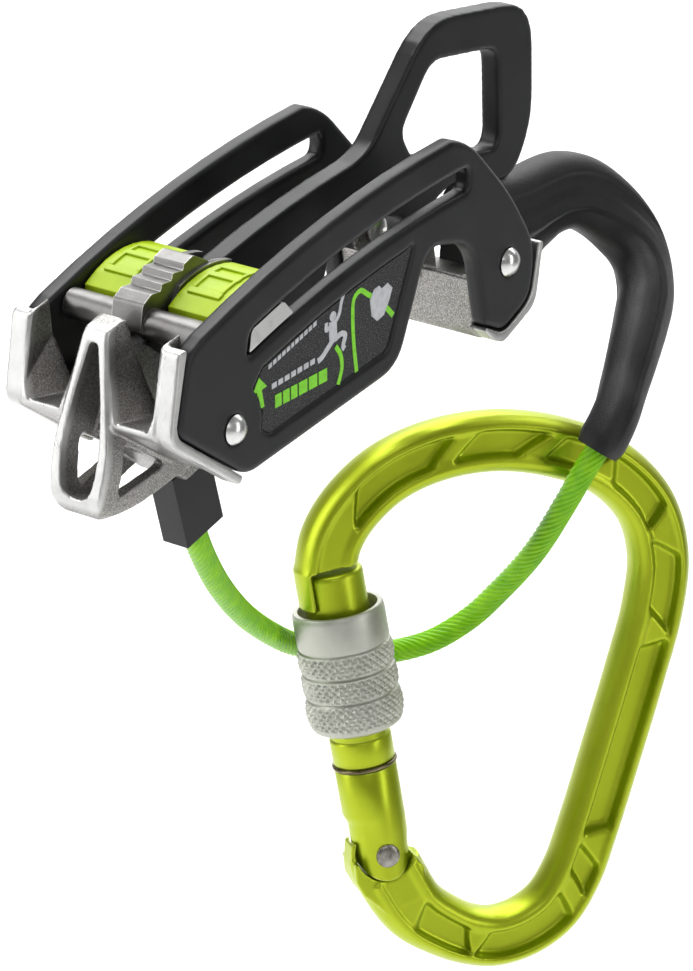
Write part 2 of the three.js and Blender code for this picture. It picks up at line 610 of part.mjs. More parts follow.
function threadBush() {
  const low = SLEEVE.bottom + 2.1;
  return turned([[6.55, low], [7.6, low], [7.6, low + 12.6], [6.55, low + 12.6], [6.55, low]]);
}

// ---------- assembly ----------
const device = new THREE.Group();
device.position.set(-EYELET.x, 0, -EYELET.z);
device.add(
  piece('side_plate_right', sidePlate(-1), BLACK_ALLOY),
  piece('side_plate_left', sidePlate(1), BLACK_ALLOY),
  piece('centre_plate', centrePlate(), BLACK_ALLOY),
  piece('label_right', label(-1), LABEL),
  piece('label_left', label(1), LABEL),
  piece('front_insert', frontInsert(), CAST_STEEL),
  piece('rear_insert', rearInsert(), CAST_STEEL),
  piece('centre_dowel_front', crossPin(FRONT_PIN, PIN_R, -4.0, 4.0, 14), STEEL),
  piece('centre_dowel_rear', crossPin(REAR_PIN, PIN_R, -4.1, 4.1, 14), STEEL),
  piece('slider_frame', sliderFrame(), STEEL),
  piece('cable', sweep(cableCurve, CABLE_R, CABLE_STEPS), LIME_CABLE),
  piece('cable_ferrule', cableFerrule(), BLACK_PLASTIC),
  piece('cable_sleeve', cableSleeve(), RUBBER),
);
for (const [side, hand] of [[-1, 'right'], [1, 'left']]) {
  device.add(
    piece(`front_rivet_${hand}`, plateRivet(FRONT_RIVET, side), STEEL),
    piece(`rear_rivet_${hand}`, plateRivet(REAR_RIVET, side), STEEL),
    piece(`slider_guide_${hand}`, sliderGuide(side), STEEL),
    piece(`brake_insert_${hand}`, brakeInsert(side), LIME_PLASTIC),
  );
}

const gateGroup = new THREE.Group();
gateGroup.rotation.z = radians(GATE_LEAN);
gateGroup.add(
  piece('gate', gate(), LIME_ALLOY),
  piece('gate_spring', gateSpring(), SPRING_STEEL),
  piece('gate_plunger', turned([[0, 5.6], [1.6, 5.6], [2.0, 6.2], [2.0, 10.0], [0, 10.0]], 16), STEEL),
  piece('gate_snap_ring', new THREE.TorusGeometry(6.2, 0.4, 8, 32).rotateX(Math.PI / 2).translate(0, 18.5, 0), SPRING_STEEL),
  piece('sleeve_thread_bush', threadBush(), BRASS),
  piece('screw_sleeve', screwSleeve(), GREY_ALLOY),
);
const uprightPlane = new THREE.Group();
uprightPlane.rotation.x = Math.PI / 2;
uprightPlane.add(
  piece('carabiner_body', carabinerBody(), LIME_ALLOY),
  piece('gate_rivet', gateRivet(), STEEL),
  gateGroup,
);
const carabiner = new THREE.Group();
carabiner.position.set(CARABINER.x, CARABINER.y, CARABINER.z);
carabiner.rotation.z = radians(CARABINER.yaw);
carabiner.add(uprightPlane);
device.add(carabiner);

const group = new THREE.Group();
group.add(device);

export default group;
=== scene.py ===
# Belay device on its keeper cable with a screwgate carabiner: the looks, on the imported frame.
import json
import math

import bpy
import bmesh
from mathutils import Matrix, Vector


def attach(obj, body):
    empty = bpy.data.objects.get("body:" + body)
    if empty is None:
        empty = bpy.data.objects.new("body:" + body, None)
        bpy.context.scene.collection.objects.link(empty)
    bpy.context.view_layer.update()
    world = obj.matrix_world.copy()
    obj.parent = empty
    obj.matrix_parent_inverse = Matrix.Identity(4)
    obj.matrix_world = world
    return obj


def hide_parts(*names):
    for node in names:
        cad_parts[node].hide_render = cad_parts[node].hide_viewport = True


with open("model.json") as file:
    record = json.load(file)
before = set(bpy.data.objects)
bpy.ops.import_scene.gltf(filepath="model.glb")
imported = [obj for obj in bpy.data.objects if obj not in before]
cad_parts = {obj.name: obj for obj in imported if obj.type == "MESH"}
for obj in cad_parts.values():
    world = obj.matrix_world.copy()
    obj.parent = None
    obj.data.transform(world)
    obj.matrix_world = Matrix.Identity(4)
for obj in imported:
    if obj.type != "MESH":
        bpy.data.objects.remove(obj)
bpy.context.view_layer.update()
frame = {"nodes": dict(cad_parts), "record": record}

MM = 0.001
EYELET = Vector((98.2, 0.0, 52.4))       # the row's origin, in the plate frame used below, mm


def at(x, y, z):
    """A point of the plate frame, in millimetres, as a point of the row frame in metres."""
    return (Vector((x, y, z)) - EYELET) * MM


# ---------- camera ----------
CAMERA_RIGHT = Vector((0.588, -0.7972, 0.1369))
CAMERA_UP = Vector((0.0895, 0.2323, 0.9685))
CAMERA_BACK = Vector((-0.8039, -0.5572, 0.2079))
CAMERA_PLACE = Vector((-0.6832, -0.4617, 0.0989))
CAMERA_LENS = 161.5                      # on the default 36 mm sensor's long side


def make_camera():
    data = bpy.data.cameras.new("camera")
    data.lens = CAMERA_LENS
    data.clip_start = 0.01
    data.clip_end = 20
    camera = bpy.data.objects.new("camera", data)
    bpy.context.collection.objects.link(camera)
    turn = Matrix((CAMERA_RIGHT, CAMERA_UP, CAMERA_BACK)).transposed()
    camera.matrix_world = Matrix.Translation(CAMERA_PLACE) @ turn.to_4x4()
    bpy.context.scene.camera = camera


make_camera()


# ---------- shared tools ----------
CURVE_POINTS = 24                        # points between two given ones, before the even spacing


def mesh_object(name, verts, faces, smooth=True, auto_angle=None):
    """A new mesh object, its faces turned outwards."""
    mesh = bpy.data.meshes.new(name)
    mesh.from_pydata([tuple(v) for v in verts], [], faces)
    mesh.validate()
    mesh.update()
    obj = bpy.data.objects.new(name, mesh)
    bpy.context.collection.objects.link(obj)
    tidy = bmesh.new()
    tidy.from_mesh(mesh)
    bmesh.ops.recalc_face_normals(tidy, faces=tidy.faces)
    tidy.to_mesh(mesh)
    tidy.free()
    for polygon in mesh.polygons:
        polygon.use_smooth = smooth
    if auto_angle:
        smooth_by_angle(obj, auto_angle)
    return obj


def smooth_by_angle(obj, degrees):
    """Smooth shading, broken at edges sharper than the given angle."""
    mesh = obj.data
    for polygon in mesh.polygons:
        polygon.use_smooth = True
    work = bmesh.new()
    work.from_mesh(mesh)
    limit = math.radians(degrees)
    for edge in work.edges:
        edge.smooth = len(edge.link_faces) == 2 and edge.calc_face_angle(0) < limit
    work.to_mesh(mesh)
    work.free()


def catmull(points, steps):
    """A centripetal Catmull-Rom curve through points, as steps + 1 points equally spaced along it."""
    fine = []
    count = len(points)
    for i in range(count - 1):
        p1, p2 = points[i], points[i + 1]
        p0 = points[i - 1] if i else p1 + (p1 - p2)
        p3 = points[i + 2] if i + 2 < count else p2 + (p2 - p1)
        t0 = 0.0
        t1 = t0 + (p1 - p0).length ** 0.5
        t2 = t1 + (p2 - p1).length ** 0.5
        t3 = t2 + (p3 - p2).length ** 0.5
        for k in range(CURVE_POINTS):
            t = t1 + (t2 - t1) * k / CURVE_POINTS
            a1 = (t1 - t) / (t1 - t0) * p0 + (t - t0) / (t1 - t0) * p1
            a2 = (t2 - t) / (t2 - t1) * p1 + (t - t1) / (t2 - t1) * p2
            a3 = (t3 - t) / (t3 - t2) * p2 + (t - t2) / (t3 - t2) * p3
            b1 = (t2 - t) / (t2 - t0) * a1 + (t - t0) / (t2 - t0) * a2
            b2 = (t3 - t) / (t3 - t1) * a2 + (t - t1) / (t3 - t1) * a3
            fine.append((t2 - t) / (t2 - t1) * b1 + (t - t1) / (t2 - t1) * b2)
    fine.append(points[-1].copy())
    return resample(fine, steps)


def resample(points, steps):
    """A path's points spaced equally along it, as steps + 1 points."""
    lengths = [0.0]
    for a, b in zip(points, points[1:]):
        lengths.append(lengths[-1] + (b - a).length)
    out = []
    j = 0
    for i in range(steps + 1):
        goal = lengths[-1] * i / steps
        while j < len(points) - 2 and lengths[j + 1] < goal:
            j += 1
        span = lengths[j + 1] - lengths[j]
        out.append(points[j].lerp(points[j + 1], (goal - lengths[j]) / span if span else 0.0))
    return out


def path_length(points):
    return sum((b - a).length for a, b in zip(points, points[1:]))


def frames_along(points):
    """(point, sideways, upward) at each point of a path; sideways stays close to the row's Y axis."""
    across = Vector((0, 1, 0))
    out = []
    for i, point in enumerate(points):
        tangent = (points[min(i + 1, len(points) - 1)] - points[max(i - 1, 0)]).normalized()
        side = (across - tangent * across.dot(tangent)).normalized()
        out.append((point, side, tangent.cross(side)))
    return out


def loft(name, rings, closed_ends=True, auto_angle=None):
    """A skin over rings of equally many points."""
    sides = len(rings[0])
    verts = [v for ring in rings for v in ring]
    faces = []
    for i in range(len(rings) - 1):
        for j in range(sides):
            k = (j + 1) % sides
            faces.append((i * sides + j, i * sides + k, (i + 1) * sides + k, (i + 1) * sides + j))
    if closed_ends:
        faces.append(tuple(reversed(range(sides))))
        faces.append(tuple((len(rings) - 1) * sides + j for j in range(sides)))
    return mesh_object(name, verts, faces, auto_angle=auto_angle)


def smoothstep(value, low, high):
    """0 up to low, 1 from high, a smooth rise between them."""
    t = min(max((value - low) / (high - low), 0.0), 1.0)
    return t * t * (3 - 2 * t)


# ---------- materials ----------
POLISH_AND_LIGHT_FRONT = -98.6 * MM                # the insert is polished in front of this, in the row frame; behind it, its darker colour is partly painted shade
POLISH_AND_LIGHT_SIDE = 16.4 * MM                  # and outside this distance from the middle plane
POLISH_AND_LIGHT_FRONT_FADE = 1.2 * MM             # over these widths the polish gives way to the cast skin and its painted shade
POLISH_AND_LIGHT_SIDE_FADE = 0.6 * MM


class Look:
    """A node material built step by step around one Principled shader."""

    def __init__(self, name, color, roughness, metallic=0.0, coat=0.0, coat_roughness=0.1, specular=None):
        self.material = bpy.data.materials.new(name)
        self.material.use_nodes = True
        self.tree = self.material.node_tree
        self.shader = self.tree.nodes["Principled BSDF"]
        self.shader.inputs["Base Color"].default_value = (*color, 1)
        self.shader.inputs["Roughness"].default_value = roughness
        self.shader.inputs["Metallic"].default_value = metallic
        self.shader.inputs["Coat Weight"].default_value = coat
        self.shader.inputs["Coat Roughness"].default_value = coat_roughness
        if specular is not None:
            self.shader.inputs["Specular IOR Level"].default_value = specular
        self.height = None

    def node(self, kind, **settings):
        made = self.tree.nodes.new(kind)
        for key, value in settings.items():
            if key in made.inputs:
                made.inputs[key].default_value = value
            else:
                setattr(made, key, value)
        return made

    def link(self, source, target):
        self.tree.links.new(source, target)

    def coordinates(self, scale):
        place = self.node("ShaderNodeTexCoord")
        mapping = self.node("ShaderNodeMapping")
        mapping.inputs["Scale"].default_value = scale
        self.link(place.outputs["Object"], mapping.inputs["Vector"])
        return mapping.outputs["Vector"]

    def noise(self, per_metre, detail=3.0, roughness=0.6, scale=(1, 1, 1)):
        made = self.node("ShaderNodeTexNoise")
        made.inputs["Scale"].default_value = per_metre
        made.inputs["Detail"].default_value = detail
        made.inputs["Roughness"].default_value = roughness
        self.link(self.coordinates(scale), made.inputs["Vector"])
        return made.outputs["Fac"]

    def ramp(self, source, stops):
        made = self.node("ShaderNodeValToRGB")
        elements = made.color_ramp.elements
        while len(elements) < len(stops):
            elements.new(0.5)
        for element, (position, color) in zip(elements, stops):
            element.position = position
            element.color = (*color, 1)
        self.link(source, made.inputs["Fac"])
        return made.outputs["Color"]

    def grey_ramp(self, source, stops):
        return self.ramp(source, [(position, (value, value, value)) for position, value in stops])

    def color(self, source):
        self.link(source, self.shader.inputs["Base Color"])

    def roughness(self, source):
        self.link(source, self.shader.inputs["Roughness"])

    def bump(self, source, distance, strength=1.0):
        made = self.node("ShaderNodeBump")
        made.inputs["Strength"].default_value = strength
        made.inputs["Distance"].default_value = distance
        self.link(source, made.inputs["Height"])
        if self.height:
            self.link(self.height, made.inputs["Normal"])
        self.height = made.outputs["Normal"]
        self.link(self.height, self.shader.inputs["Normal"])

    def painted_edge_highlight(self, width):
        """White on edges and corners, black elsewhere: the mask of a painted highlight along the bevels."""
        bevel = self.node("ShaderNodeBevel", samples=4)
        bevel.inputs["Radius"].default_value = width
        normal = self.node("ShaderNodeNewGeometry")
        dot = self.node("ShaderNodeVectorMath", operation="DOT_PRODUCT")
        self.link(bevel.outputs["Normal"], dot.inputs[0])
        self.link(normal.outputs["Normal"], dot.inputs[1])
        return self.grey_ramp(dot.outputs["Value"], [(0.80, 1.0), (0.985, 0.0)])

    def polish_and_light(self):
        """White near the front rim and the side lips of the row, black deeper inside, where the insert gets
        painted shade.
        """
        place = self.node("ShaderNodeTexCoord")
        parts = self.node("ShaderNodeSeparateXYZ")
        self.link(place.outputs["Object"], parts.inputs["Vector"])
        front = self.node("ShaderNodeMapRange")
        front.inputs["From Min"].default_value = POLISH_AND_LIGHT_FRONT + POLISH_AND_LIGHT_FRONT_FADE
        front.inputs["From Max"].default_value = POLISH_AND_LIGHT_FRONT
        self.link(parts.outputs["X"], front.inputs["Value"])
        reach = self.node("ShaderNodeMath", operation="ABSOLUTE")
        self.link(parts.outputs["Y"], reach.inputs[0])
        side = self.node("ShaderNodeMapRange")
        side.inputs["From Min"].default_value = POLISH_AND_LIGHT_SIDE - POLISH_AND_LIGHT_SIDE_FADE
        side.inputs["From Max"].default_value = POLISH_AND_LIGHT_SIDE
        self.link(reach.outputs["Value"], side.inputs["Value"])
        either = self.node("ShaderNodeMath", operation="MAXIMUM")
        self.link(front.outputs["Result"], either.inputs[0])
        self.link(side.outputs["Result"], either.inputs[1])
        return either.outputs["Value"]

    def mix(self, factor, low, high):
        made = self.node("ShaderNodeMix", data_type="RGBA")
        self.link(factor, made.inputs["Factor"])
        for value, socket in ((low, made.inputs["A"]), (high, made.inputs["B"])):
            if isinstance(value, tuple):
                socket.default_value = (*value, 1)
            else:
                self.link(value, socket)
        return made.outputs["Result"]


def black_anodised():
    look = Look("black_anodised", (0.012, 0.012, 0.013), 0.34, specular=0.28)
    cloud = look.noise(60, detail=4)
    # painted highlight: the edges get a lighter grey than the black body
    edge_highlight = look.painted_edge_highlight(0.0004)
    tint = look.ramp(cloud, [(0.3, (0.007, 0.007, 0.008)), (0.7, (0.014, 0.014, 0.015))])
    look.color(look.mix(edge_highlight, tint, (0.060, 0.060, 0.063)))
    look.roughness(look.grey_ramp(cloud, [(0.3, 0.30), (0.7, 0.42)]))
    look.bump(look.noise(5200, detail=2), 0.00003, 0.35)
    return look.material


def cast_steel():
    """Investment-cast steel: grainy inside and darkened there as painted shade, polished where the rope and
    the hand reach it.
    """
    look = Look("cast_steel", (0.45, 0.43, 0.41), 0.35, metallic=1.0)
    grain = look.noise(3600, detail=5, roughness=0.65)
    cloud = look.noise(240, detail=4)
    polish_and_light = look.polish_and_light()
    # painted shade: the grainy colour inside the insert is darker than the cast skin alone
    cast_and_shade_color = look.ramp(
        grain, [(0.36, (0.13, 0.126, 0.121)), (0.5, (0.26, 0.252, 0.242)), (0.65, (0.47, 0.46, 0.44))])
    fine_color = look.ramp(cloud, [(0.3, (0.46, 0.46, 0.45)), (0.7, (0.58, 0.58, 0.57))])
    look.color(look.mix(polish_and_light, cast_and_shade_color, fine_color))
    rough_gloss = look.grey_ramp(cloud, [(0.3, 0.34), (0.7, 0.46)])
    fine_gloss = look.grey_ramp(cloud, [(0.3, 0.27), (0.7, 0.36)])
    look.roughness(look.mix(polish_and_light, rough_gloss, fine_gloss))
    look.bump(grain, 0.00011, 0.6)
    return look.material


def slider_steel():
    look = Look("slider_steel", (0.30, 0.29, 0.28), 0.33, metallic=1.0)
    grain = look.noise(3600, detail=4)
    cloud = look.noise(220, detail=4)
    # painted highlight: the edges get a paler steel colour than the body
    edge_highlight = look.painted_edge_highlight(0.0004)
    tint = look.ramp(cloud, [(0.3, (0.14, 0.137, 0.133)), (0.7, (0.21, 0.206, 0.20))])
    look.color(look.mix(edge_highlight, tint, (0.50, 0.50, 0.48)))
    look.roughness(look.grey_ramp(cloud, [(0.3, 0.34), (0.7, 0.44)]))
    look.bump(grain, 0.00005, 0.5)
    return look.material


def polished_steel():
    look = Look("polished_steel", (0.72, 0.72, 0.71), 0.2, metallic=1.0)
    cloud = look.noise(160, detail=4)
    scratch = look.noise(700, detail=2, scale=(1, 1, 14))
    look.roughness(look.grey_ramp(cloud, [(0.3, 0.24), (0.7, 0.34)]))
    look.color(look.ramp(cloud, [(0.3, (0.62, 0.62, 0.61)), (0.7, (0.76, 0.76, 0.75))]))
    look.bump(scratch, 0.00002, 0.5)
    return look.material


def rivet_steel():
    look = Look("rivet_steel", (0.30, 0.28, 0.25), 0.34, metallic=1.0)
    cloud = look.noise(420, detail=4)
    look.color(look.ramp(cloud, [(0.35, (0.16, 0.145, 0.125)), (0.65, (0.40, 0.385, 0.35))]))
    look.roughness(look.grey_ramp(cloud, [(0.3, 0.28), (0.7, 0.42)]))
    look.bump(look.noise(1500, detail=3), 0.00008, 0.6)
    return look.material


def spring_wire():
    look = Look("spring_wire", (0.16, 0.13, 0.08), 0.28, metallic=1.0)
    cloud = look.noise(300, detail=3)
    look.color(look.ramp(cloud, [(0.3, (0.11, 0.09, 0.05)), (0.7, (0.24, 0.20, 0.12))]))
    look.roughness(look.grey_ramp(cloud, [(0.3, 0.22), (0.7, 0.38)]))
    look.bump(look.noise(2600, detail=2), 0.00002, 0.4)
    return look.material


def lime_plastic():
    look = Look("lime_plastic", (0.40, 0.58, 0.005), 0.42, specular=0.35)
    cloud = look.noise(110, detail=3)
    look.color(look.ramp(cloud, [(0.3, (0.31, 0.45, 0.001)), (0.7, (0.40, 0.55, 0.003))]))
    look.roughness(look.grey_ramp(cloud, [(0.3, 0.38), (0.7, 0.48)]))
    look.bump(look.noise(3600, detail=2), 0.00003, 0.4)
    return look.material


def cable_coating():
    look = Look("cable_coating", (0.20, 0.50, 0.002), 0.42, specular=0.25)
    cloud = look.noise(260, detail=3)
    look.color(look.ramp(cloud, [(0.3, (0.14, 0.42, 0.001)), (0.7, (0.24, 0.55, 0.002))]))
    look.roughness(look.grey_ramp(cloud, [(0.3, 0.28), (0.7, 0.40)]))
    look.bump(look.noise(2600, detail=2), 0.00003, 0.3)
    return look.material


def black_rubber():
    look = Look("black_rubber", (0.010, 0.010, 0.011), 0.5, specular=0.3)
    cloud = look.noise(140, detail=4)
    look.color(look.ramp(cloud, [(0.3, (0.007, 0.007, 0.008)), (0.7, (0.013, 0.013, 0.014))]))
    look.roughness(look.grey_ramp(cloud, [(0.3, 0.42), (0.7, 0.55)]))
    look.bump(look.noise(2400, detail=4), 0.00014, 0.8)
    return look.material


def black_plastic():
    look = Look("black_plastic", (0.014, 0.014, 0.015), 0.4, specular=0.3)
    cloud = look.noise(200, detail=3)
    look.color(look.ramp(cloud, [(0.3, (0.009, 0.009, 0.010)), (0.7, (0.016, 0.016, 0.017))]))
    look.roughness(look.grey_ramp(cloud, [(0.3, 0.36), (0.7, 0.48)]))
    look.bump(look.noise(3800, detail=2), 0.00005, 0.5)
    return look.material


def lime_anodised():
    look = Look("lime_anodised", (0.38, 0.47, 0.02), 0.34, metallic=0.82, coat=0.12, coat_roughness=0.2)
    cloud = look.noise(45, detail=4)
    # painted highlight: the edges get a pale lime colour
    edge_highlight = look.painted_edge_highlight(0.0005)
    tint = look.ramp(cloud, [(0.3, (0.35, 0.43, 0.010)), (0.7, (0.43, 0.52, 0.018))])
    look.color(look.mix(edge_highlight, tint, (0.62, 0.72, 0.16)))
    look.roughness(look.grey_ramp(cloud, [(0.3, 0.32), (0.7, 0.42)]))
    look.bump(look.noise(3200, detail=3), 0.00003, 0.4)
    return look.material


def bead_blasted():
    look = Look("bead_blasted", (0.47, 0.475, 0.42), 0.42, metallic=0.85)
    cloud = look.noise(130, detail=3)
    look.color(look.ramp(cloud, [(0.3, (0.41, 0.415, 0.36)), (0.7, (0.51, 0.515, 0.46))]))
    look.roughness(look.grey_ramp(cloud, [(0.3, 0.40), (0.7, 0.50)]))
    look.bump(look.noise(4200, detail=3), 0.00005, 0.6)
    return look.material


def brass():
    look = Look("brass", (0.58, 0.42, 0.16), 0.3, metallic=1.0)
    cloud = look.noise(240, detail=3)
    look.color(look.ramp(cloud, [(0.3, (0.50, 0.36, 0.13)), (0.7, (0.62, 0.46, 0.19))]))
    look.roughness(look.grey_ramp(cloud, [(0.3, 0.24), (0.7, 0.40)]))
    look.bump(look.noise(2600, detail=2), 0.00003, 0.4)
    return look.material


def label_print():
    look = Look("label_print", (0.024, 0.024, 0.025), 0.6, specular=0.3)
    specks = look.noise(4200, detail=2)
    look.color(look.ramp(
        specks, [(0.42, (0.012, 0.012, 0.013)), (0.55, (0.028, 0.028, 0.029)), (0.66, (0.12, 0.12, 0.12))]))
    look.bump(look.noise(3000, detail=2), 0.00003, 0.4)
    return look.material


MATERIALS = {
    "black_alloy": black_anodised(),
    "label_print": label_print(),
    "cast_steel": cast_steel(),
    "steel": polished_steel(),
    "lime_plastic": lime_plastic(),
    "cable_coating": cable_coating(),
    "black_plastic": black_plastic(),
    "black_rubber": black_rubber(),
    "lime_alloy": lime_anodised(),
    "grey_alloy": bead_blasted(),
    "brass": brass(),
}


def dress(obj, slot):
    """Gives a new piece the material of a record slot."""
    obj.data.materials.clear()
    obj.data.materials.append(MATERIALS[slot])
    return obj


FINISHES = {"slider_frame": slider_steel(), "gate_snap_ring": spring_wire(), "gate_rivet": rivet_steel()}


def dress_frame():
    """Every CAD node gets its slot's material, or a finish of its own."""
    slots = {part["node"]: part["material_slot"] for part in frame["record"]["subparts"]}
    for name, obj in frame["nodes"].items():
        material = FINISHES.get(name, MATERIALS[slots[name]])
        for place in obj.material_slots:
            place.material = material
        if not obj.material_slots:
            obj.data.materials.append(material)


# ---------- keeper cable ----------
CABLE_RADIUS = 2.4 * MM
FERRULE_TOP = Vector((27.4, 0.0, -11.5))
FERRULE_TILT = math.radians(28.7)


def ferrule_point(along):
    """A point of the plate frame on the ferrule's axis, a distance below its top."""
    return (
        FERRULE_TOP.x + math.sin(FERRULE_TILT) * along,
        0.0,
        FERRULE_TOP.z - math.cos(FERRULE_TILT) * along,
    )


CABLE_ROUTE = [at(*point) for point in (
    ferrule_point(-5.5), ferrule_point(7), ferrule_point(15.5),
    (46.2, 4.2, -34.0), (61.0, 10.0, -42.8), (77.5, 15.8, -51.0), (91.7, 19.4, -57.0),
    (101.2, 21.2, -60.4), (110.7, 21.6, -62.8), (121.0, 19.8, -64.4), (129.6, 15.8, -63.9),
    (135.0, 10.8, -61.0), (138.2, 5.0, -55.3), (137.2, -2.0, -47.4), (132.6, -11.7, -36.4),
    (127.6, -20.2, -24.0), (125.4, -24.7, -16.1), (125.8, -26.8, -11.2), (127.6, -27.2, -8.0),
    (131.0, -26.4, -4.2), (136.2, -24.0, 0.2), (142.3, -21.2, 5.8), (148.6, -18.0, 10.9),
    (153.4, -15.2, 15.4), (156.0, -12.0, 20.0), (156.3, -8.8, 24.4), (154.4, -5.6, 28.3),
    (150.5, -3.0, 31.4), (145.0, -1.2, 33.4), (138.6, -0.3, 33.6), (132.9, 0, 32.4),
    (126.0, 0, 30.4), (118.0, 0, 28.9), (100.5, 0, 28.4),
)]
CABLE_STEPS = 640
STRANDS = 12
STRAND_LAY = 21.0 * MM                   # length of one turn of the strands
STRAND_DEPTH = 0.13                      # share of the radius between a strand's crown and its valley
SLEEVE_SPAN = (0.638, 0.985)             # shares of the cable's length inside the rubber


def keeper_cable(on_it):
    """Twisted wire under a green coat: a section with one lobe per strand, which turns along the route."""
    sides = STRANDS * 6
    path = catmull(CABLE_ROUTE, CABLE_STEPS)
    length = path_length(path)
    rings = []
    for i, (point, side, up) in enumerate(frames_along(path)):
        twist = 2 * math.pi * (length * i / CABLE_STEPS) / STRAND_LAY
        ring = []
        for j in range(sides):
            place = 2 * math.pi * j / sides
            crown = STRAND_DEPTH * abs(math.sin(STRANDS * place / 2)) ** 0.7
            radius = CABLE_RADIUS * (1 - STRAND_DEPTH + crown)
            angle = place + twist
            ring.append(point + side * (radius * math.cos(angle)) + up * (radius * math.sin(angle)))
        rings.append(ring)
    cable = loft("keeper_cable", rings)
    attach(cable, "device")
    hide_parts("cable")
    dress(cable, "cable_coating")


# ---------- rubber sleeve over the cable ----------
def squared(value):
    """A sine or cosine bent so that a round section comes out a little square."""
    return math.copysign(abs(value) ** 0.75, value)


def rubber_sleeve():
    """A moulded sleeve: slim at its free end, deep at the plates, with a step and a sunk band along it."""
    steps, sides = 150, 96
    path = catmull(CABLE_ROUTE, CABLE_STEPS)
    first, last = (round(share * CABLE_STEPS) for share in SLEEVE_SPAN)
    stretch = resample(path[first:last + 1], steps)
    rings = []
    for i, (point, side, up) in enumerate(frames_along(stretch)):
        t = i / steps
        swell = smoothstep(t, 0, 0.45)
        flare = smoothstep(t, 0.55, 0.95)
        bend = smoothstep(t, 0.1, 0.35) * (1 - smoothstep(t, 0.6, 0.8))
        half_width = (4.4 + 0.7 * swell + 0.3 * bend) * MM
        half_height = (4.6 + 1.6 * swell + 1.4 * flare + 0.7 * bend) * MM
        rounding = 1 - 0.10 * (1 - smoothstep(i, 0, 3)) - 0.10 * smoothstep(i, steps - 3, steps)
        ring = []
        for j in range(sides):
            angle = 2 * math.pi * j / sides
            height = squared(math.sin(angle))
            keel = smoothstep(height, 0.30, 0.42) * (0.12 + 0.20 * smoothstep(t, 0.5, 0.75))
            groove = math.exp(-((height - 0.35) / 0.06) ** 2) * (0.05 + 0.06 * smoothstep(t, 0.5, 0.75))
            band = smoothstep(height, -0.66, -0.54) * (1 - smoothstep(height, -0.24, -0.10))
            sunk = keel + groove + 0.10 * band * smoothstep(t, 0.44, 0.52)
            width = half_width * squared(math.cos(angle)) * (1 - sunk * smoothstep(t, 0.0, 0.12))
            if height > 0:
                deepening = 5.2 * smoothstep(t, 0.62, 0.84)
            else:
                deepening = 1.6 * smoothstep(t, 0.5, 0.75)
            reach = half_height + deepening * MM
            ring.append(point + side * (width * rounding) + up * (reach * height * rounding))
        rings.append(ring)
    sleeve = loft("rubber_sleeve", rings, auto_angle=50)
    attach(sleeve, "device")
    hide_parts("cable_sleeve")
    dress(sleeve, "black_rubber")
    return sleeve


# ---------- cast and milled pieces of the frame ----------
def soften(obj, voxel, rounds):
    """Rounds a piece's edges as casting or tumbling does: a fine remesh, then smoothing."""
    remesh = obj.modifiers.new("remesh", "REMESH")
    remesh.mode = "VOXEL"
    remesh.voxel_size = voxel * MM
    remesh.use_smooth_shade = True
    smooth = obj.modifiers.new("smooth", "SMOOTH")
    smooth.factor = 0.5
    smooth.iterations = rounds


def chamfer(name, width):
    """Breaks a CAD node's sharp edges with a narrow round."""
    obj = frame["nodes"][name]
    weld = obj.modifiers.new("weld", "WELD")
    weld.merge_threshold = 0.002 * MM
    edges = obj.modifiers.new("edges", "BEVEL")
    edges.width = width * MM
    edges.segments = 2
    edges.limit_method = "ANGLE"
    edges.angle_limit = math.radians(38)
    edges.harden_normals = True
    normals = obj.modifiers.new("normals", "WEIGHTED_NORMAL")
    normals.keep_sharp = True
    for polygon in obj.data.polygons:
        polygon.use_smooth = True


# Voxel size in mm and rounds of smoothing for each cast or milled node.
SOFTENED = {
    "side_plate_right": (0.38, 3),
    "side_plate_left": (0.38, 3),
    "centre_plate": (0.40, 8),
    "front_insert": (0.27, 3),
    "rear_insert": (0.32, 2),
}
BLOCKS = ("slider_frame", "slider_guide_right", "slider_guide_left", "cable_ferrule")
SMALL_PIECES = (
    "front_rivet_right", "front_rivet_left", "rear_rivet_right", "rear_rivet_left", "gate_rivet",
    "gate_plunger", "gate_snap_ring", "sleeve_thread_bush", "centre_dowel_front", "centre_dowel_rear",
    "label_right", "label_left", "gate_spring",
)


def soften_frame():
    """Soft edges on the castings and plates, narrow rounds on the other CAD nodes."""
    coarse = 1.0
    for name, (voxel, rounds) in SOFTENED.items():
        soften(frame["nodes"][name], voxel * coarse, rounds)
    for name in BLOCKS:
        chamfer(name, 0.3)
    for name in SMALL_PIECES:
        chamfer(name, 0.12)


# ---------- carabiner ----------
CARABINER_YAW = math.radians(-37.1)
GATE_LEAN = math.radians(18.0)
CARABINER_RIGHT = Vector((math.cos(CARABINER_YAW), math.sin(CARABINER_YAW), 0))
CARABINER_OUT = CARABINER_RIGHT.cross(Vector((0, 0, 1)))
GATE_PIVOT = at(110.4, 0.1, -98.0)
GATE_R = 6.2
GATE_TOP = 59.2
ON_AXIS = 0.02                           # turned profiles stop this far from the axis, mm
RING_AT = 18.5                           # the snap ring's place up the gate
# The middle of the bar, from the gate's pivot round to the nose, in the carabiner's plane.
BODY_ROUTE = [Vector((x, y, 0)) for x, y in (
    (2.9, -3.8), (9.3, -11.8), (14.9, -15.2), (20.7, -17.3), (26.7, -17.6), (32.9, -15.3),
    (38.2, -10.6), (41.5, -3.2), (43.4, 6.1), (45.9, 22.2), (48.4, 39.4), (49.9, 52.6),
    (49.3, 63.8), (44.9, 73.5), (36.0, 80.6), (24.4, 83.9), (11.6, 84.3), (-0.4, 81.4),
    (-9.9, 76.0), (-16.4, 68.4), (-19.1, 61.9), (-19.4, 55.5),
)]
